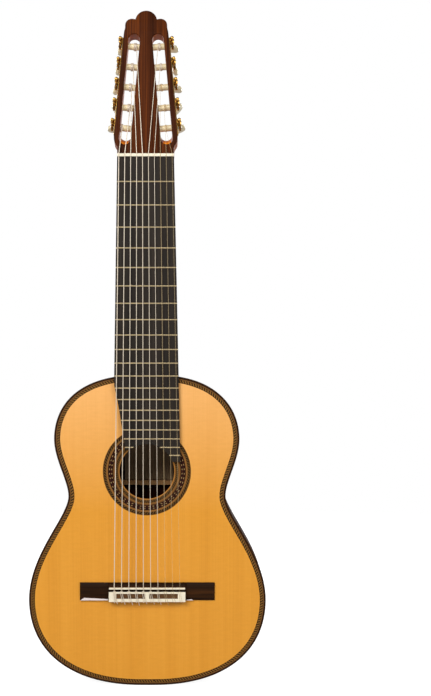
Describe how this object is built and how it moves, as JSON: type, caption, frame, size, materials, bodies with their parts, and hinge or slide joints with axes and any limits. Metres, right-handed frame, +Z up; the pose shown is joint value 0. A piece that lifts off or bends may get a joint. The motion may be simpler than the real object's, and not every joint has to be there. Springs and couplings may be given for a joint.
{
  "type": "ten-string classical guitar",
  "caption": "Wide-neck classical guitar with a slotted head, side-mounted geared tuners, tie-block bridge, round soundhole with rosette and a hollow waisted body.",
  "frame": {"origin": "centre of the flat end face of the tail, halfway through the body's depth", "axes": "+Z up the neck, -Y out of the soundboard towards the player's audience, +X to the right seen from the front (treble side)"},
  "size_m": [0.3658, 0.1156, 1.0264],
  "materials": {
    "soundboard_wood": "gloss",
    "rosette": "gloss",
    "dark_binding": "gloss",
    "back_binding": "gloss",
    "rosewood": "gloss",
    "inner_wood": "raw",
    "neck_wood": "gloss",
    "ebony": "satin",
    "bone": "satin",
    "gold": "polished",
    "roller": "gloss",
    "button": "gloss",
    "wound_string": "wound wire",
    "nylon_string": "clear nylon"
  },
  "bodies": {
    "guitar": {"soundboard": "soundboard_wood", "rosette": "rosette", "top_binding": "dark_binding", "back_binding": "back_binding", "back_plate": "rosewood", "rib_bass": "rosewood", "rib_treble": "rosewood", "tail_strip": "dark_binding", "top_lining": "inner_wood", "back_lining": "inner_wood", "tail_block": "inner_wood", "neck_block": "neck_wood", "upper_harmonic_bar": "inner_wood", "lower_harmonic_bar": "inner_wood", "fan_bracing": "inner_wood", "back_brace_1": "inner_wood", "back_brace_2": "inner_wood", "back_brace_3": "inner_wood", "neck": "neck_wood", "headstock": "neck_wood", "head_veneer": "rosewood", "heel_cap": "rosewood", "fingerboard": "ebony", "nut": "bone", "saddle": "bone", "tie_block_frame": "bone", "bridge": "rosewood", "tuner_plate_bass": "gold", "tuner_plate_treble": "gold", "string_1": "wound_string", "string_2": "wound_string", "string_3": "wound_string", "string_4": "wound_string", "string_5": "wound_string", "string_6": "wound_string", "string_7": "wound_string", "string_8": "nylon_string", "string_9": "nylon_string", "string_10": "nylon_string"},
    "button_body_1": {"tuner_button_1": "button"},
    "roller_body_1": {"roller_1": "roller"},
    "button_body_2": {"tuner_button_2": "button"},
    "roller_body_2": {"roller_2": "roller"},
    "button_body_3": {"tuner_button_3": "button"},
    "roller_body_3": {"roller_3": "roller"},
    "button_body_4": {"tuner_button_4": "button"},
    "roller_body_4": {"roller_4": "roller"},
    "button_body_5": {"tuner_button_5": "button"},
    "roller_body_5": {"roller_5": "roller"},
    "button_body_6": {"tuner_button_6": "button"},
    "roller_body_6": {"roller_6": "roller"},
    "button_body_7": {"tuner_button_7": "button"},
    "roller_body_7": {"roller_7": "roller"},
    "button_body_8": {"tuner_button_8": "button"},
    "roller_body_8": {"roller_8": "roller"},
    "button_body_9": {"tuner_button_9": "button"},
    "roller_body_9": {"roller_9": "roller"},
    "button_body_10": {"tuner_button_10": "button"},
    "roller_body_10": {"roller_10": "roller"}
  },
  "joints": [
    {"name": "button_turn_1", "type": "hinge", "parent": "guitar", "child": "button_body_1", "pos_m": [-0.05013, -0.02989, 0.85717], "axis": [0, 0.9781, -0.2079], "continuous": true},
    {"name": "roller_turn_1", "type": "hinge", "parent": "guitar", "child": "roller_body_1", "pos_m": [-0.04611, -0.03155, 0.84937], "axis": [-0.9962, 0.0181, 0.0853], "continuous": true},
    {"name": "button_turn_2", "type": "hinge", "parent": "guitar", "child": "button_body_2", "pos_m": [-0.04734, -0.02324, 0.88845], "axis": [0, 0.9781, -0.2079], "continuous": true},
    {"name": "roller_turn_2", "type": "hinge", "parent": "guitar", "child": "roller_body_2", "pos_m": [-0.04332, -0.0249, 0.88065], "axis": [-0.9962, 0.0181, 0.0853], "continuous": true},
    {"name": "button_turn_3", "type": "hinge", "parent": "guitar", "child": "button_body_3", "pos_m": [-0.04454, -0.01659, 0.91973], "axis": [0, 0.9781, -0.2079], "continuous": true},
    {"name": "roller_turn_3", "type": "hinge", "parent": "guitar", "child": "roller_body_3", "pos_m": [-0.04052, -0.01825, 0.91193], "axis": [-0.9962, 0.0181, 0.0853], "continuous": true},
    {"name": "button_turn_4", "type": "hinge", "parent": "guitar", "child": "button_body_4", "pos_m": [-0.04174, -0.00994, 0.95101], "axis": [0, 0.9781, -0.2079], "continuous": true},
    {"name": "roller_turn_4", "type": "hinge", "parent": "guitar", "child": "roller_body_4", "pos_m": [-0.03772, -0.0116, 0.9432], "axis": [-0.9962, 0.0181, 0.0853], "continuous": true},
    {"name": "button_turn_5", "type": "hinge", "parent": "guitar", "child": "button_body_5", "pos_m": [-0.03894, -0.00329, 0.98229], "axis": [0, 0.9781, -0.2079], "continuous": true},
    {"name": "roller_turn_5", "type": "hinge", "parent": "guitar", "child": "roller_body_5", "pos_m": [-0.03492, -0.00495, 0.97448], "axis": [-0.9962, 0.0181, 0.0853], "continuous": true},
    {"name": "button_turn_6", "type": "hinge", "parent": "guitar", "child": "button_body_6", "pos_m": [0.03894, -0.00329, 0.98229], "axis": [0, 0.9781, -0.2079], "continuous": true},
    {"name": "roller_turn_6", "type": "hinge", "parent": "guitar", "child": "roller_body_6", "pos_m": [0.03492, -0.00495, 0.97448], "axis": [0.9962, 0.0181, 0.0853], "continuous": true},
    {"name": "button_turn_7", "type": "hinge", "parent": "guitar", "child": "button_body_7", "pos_m": [0.04174, -0.00994, 0.95101], "axis": [0, 0.9781, -0.2079], "continuous": true},
    {"name": "roller_turn_7", "type": "hinge", "parent": "guitar", "child": "roller_body_7", "pos_m": [0.03772, -0.0116, 0.9432], "axis": [0.9962, 0.0181, 0.0853], "continuous": true},
    {"name": "button_turn_8", "type": "hinge", "parent": "guitar", "child": "button_body_8", "pos_m": [0.04454, -0.01659, 0.91973], "axis": [0, 0.9781, -0.2079], "continuous": true},
    {"name": "roller_turn_8", "type": "hinge", "parent": "guitar", "child": "roller_body_8", "pos_m": [0.04052, -0.01825, 0.91193], "axis": [0.9962, 0.0181, 0.0853], "continuous": true},
    {"name": "button_turn_9", "type": "hinge", "parent": "guitar", "child": "button_body_9", "pos_m": [0.04734, -0.02324, 0.88845], "axis": [0, 0.9781, -0.2079], "continuous": true},
    {"name": "roller_turn_9", "type": "hinge", "parent": "guitar", "child": "roller_body_9", "pos_m": [0.04332, -0.0249, 0.88065], "axis": [0.9962, 0.0181, 0.0853], "continuous": true},
    {"name": "button_turn_10", "type": "hinge", "parent": "guitar", "child": "button_body_10", "pos_m": [0.05013, -0.02989, 0.85717], "axis": [0, 0.9781, -0.2079], "continuous": true},
    {"name": "roller_turn_10", "type": "hinge", "parent": "guitar", "child": "roller_body_10", "pos_m": [0.04611, -0.03155, 0.84937], "axis": [0.9962, 0.0181, 0.0853], "continuous": true}
  ],
  "couplings": [
    {"joint": "roller_turn_1", "follows": "button_turn_1", "ratio": -0.071429},
    {"joint": "roller_turn_2", "follows": "button_turn_2", "ratio": -0.071429},
    {"joint": "roller_turn_3", "follows": "button_turn_3", "ratio": -0.071429},
    {"joint": "roller_turn_4", "follows": "button_turn_4", "ratio": -0.071429},
    {"joint": "roller_turn_5", "follows": "button_turn_5", "ratio": -0.071429},
    {"joint": "roller_turn_6", "follows": "button_turn_6", "ratio": -0.071429},
    {"joint": "roller_turn_7", "follows": "button_turn_7", "ratio": -0.071429},
    {"joint": "roller_turn_8", "follows": "button_turn_8", "ratio": -0.071429},
    {"joint": "roller_turn_9", "follows": "button_turn_9", "ratio": -0.071429},
    {"joint": "roller_turn_10", "follows": "button_turn_10", "ratio": -0.071429}
  ]
}
